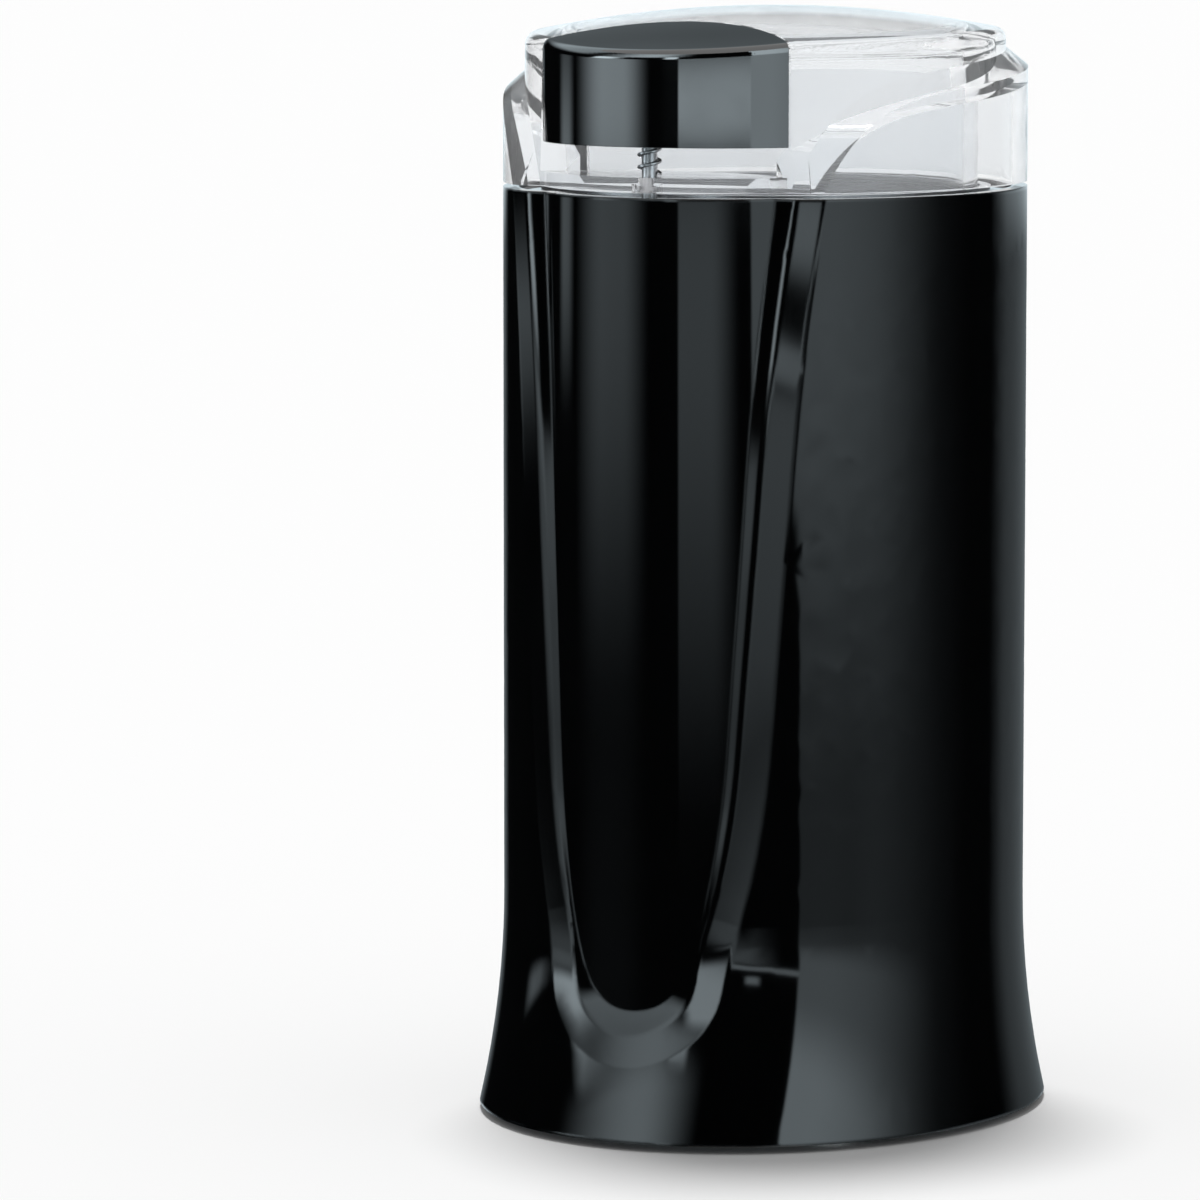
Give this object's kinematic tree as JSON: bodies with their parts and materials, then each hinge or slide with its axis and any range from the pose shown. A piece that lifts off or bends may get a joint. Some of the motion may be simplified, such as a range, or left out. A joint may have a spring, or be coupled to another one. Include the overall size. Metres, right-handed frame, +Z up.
{
  "type": "electric spice grinder",
  "caption": "Upright electric spice grinder with a waisted oval housing, a clear domed lid, a push button on the lid, a steel bowl and a spinning blade.",
  "frame": {"origin": "centre of the base at table level", "axes": "+Z up through the lid, -Y towards the front with the button, +X to the right"},
  "size_m": [0.0888, 0.1036, 0.1785],
  "materials": {
    "black_gloss_plastic": "high gloss black moulded plastic",
    "clear_plastic": "clear polished styrene plastic",
    "black_matte_plastic": "plain black moulded plastic",
    "grey_plastic": "grey glass-filled plastic",
    "natural_plastic": "natural nylon",
    "black_rubber": "soft black rubber",
    "stainless": "brushed stainless steel",
    "steel": "plain steel",
    "zinc_steel": "bright zinc plate",
    "lamination_steel": "stacked dark electrical steel",
    "copper": "copper",
    "brass": "brass",
    "bronze": "sintered bronze",
    "carbon": "pressed carbon"
  },
  "bodies": {
    "housing": {"housing": "black_gloss_plastic", "base_cover": "black_matte_plastic", "rubber_feet": "black_rubber", "base_screws": "zinc_steel", "cord_grommet": "black_rubber", "top_deck": "black_matte_plastic", "deck_screws": "zinc_steel", "bowl": "stainless", "bowl_screws": "stainless", "shaft_seal": "black_rubber", "motor_chassis": "grey_plastic", "motor_dampers": "black_rubber", "stator_core": "lamination_steel", "field_coils": "copper", "lower_bracket": "steel", "motor_screws": "zinc_steel", "lower_bearing": "bronze", "upper_bearing": "bronze", "brush_holders": "brass", "carbon_brushes": "carbon", "brush_springs": "steel", "microswitch": "black_matte_plastic"},
    "rotor": {"motor_shaft": "steel", "armature_core": "lamination_steel", "armature_windings": "copper", "commutator": "copper", "cooling_fan": "natural_plastic", "thrust_washers": "natural_plastic", "blade_hub": "black_matte_plastic", "grinding_blade": "stainless", "blade_nut": "zinc_steel"},
    "lid": {"lid_shell": "clear_plastic"},
    "button": {"lid_button": "black_gloss_plastic", "button_stem": "steel", "stem_clip": "steel", "button_spring": "steel"},
    "plunger": {"switch_plunger": "black_matte_plastic", "plunger_spring": "steel"},
    "lever": {"switch_lever": "steel"}
  },
  "joints": [
    {"name": "lid_lift", "type": "slide", "parent": "housing", "child": "lid", "axis": [0, 0, 1], "range_m": [0, 0.06]},
    {"name": "button_press", "type": "slide", "parent": "lid", "child": "button", "axis": [0, 0, -1], "range_m": [0, 0.004], "stiffness_N_per_m": 900, "springref_m": -0.001, "deforming": ["button_spring"]},
    {"name": "plunger_press", "type": "slide", "parent": "housing", "child": "plunger", "axis": [0, 0, -1], "range_m": [0, 0.004], "stiffness_N_per_m": 300, "springref_m": -0.002, "deforming": ["plunger_spring"]},
    {"name": "lever_swing", "type": "hinge", "parent": "housing", "child": "lever", "pos_m": [-0.0073, -0.037, 0.096], "axis": [0, 1, 0], "range_deg": [0, 30.1], "stiffness_Nm_per_rad": 0.002, "springref_deg": -11.46},
    {"name": "blade_spin", "type": "hinge", "parent": "housing", "child": "rotor", "pos_m": [0, 0, 0.1], "axis": [0, 0, 1], "continuous": true}
  ],
  "couplings": [
    {"joint": "plunger_press", "follows": "button_press", "ratio": 1},
    {"joint": "lever_swing", "follows": "button_press", "rad_per_m": 130.9}
  ]
}
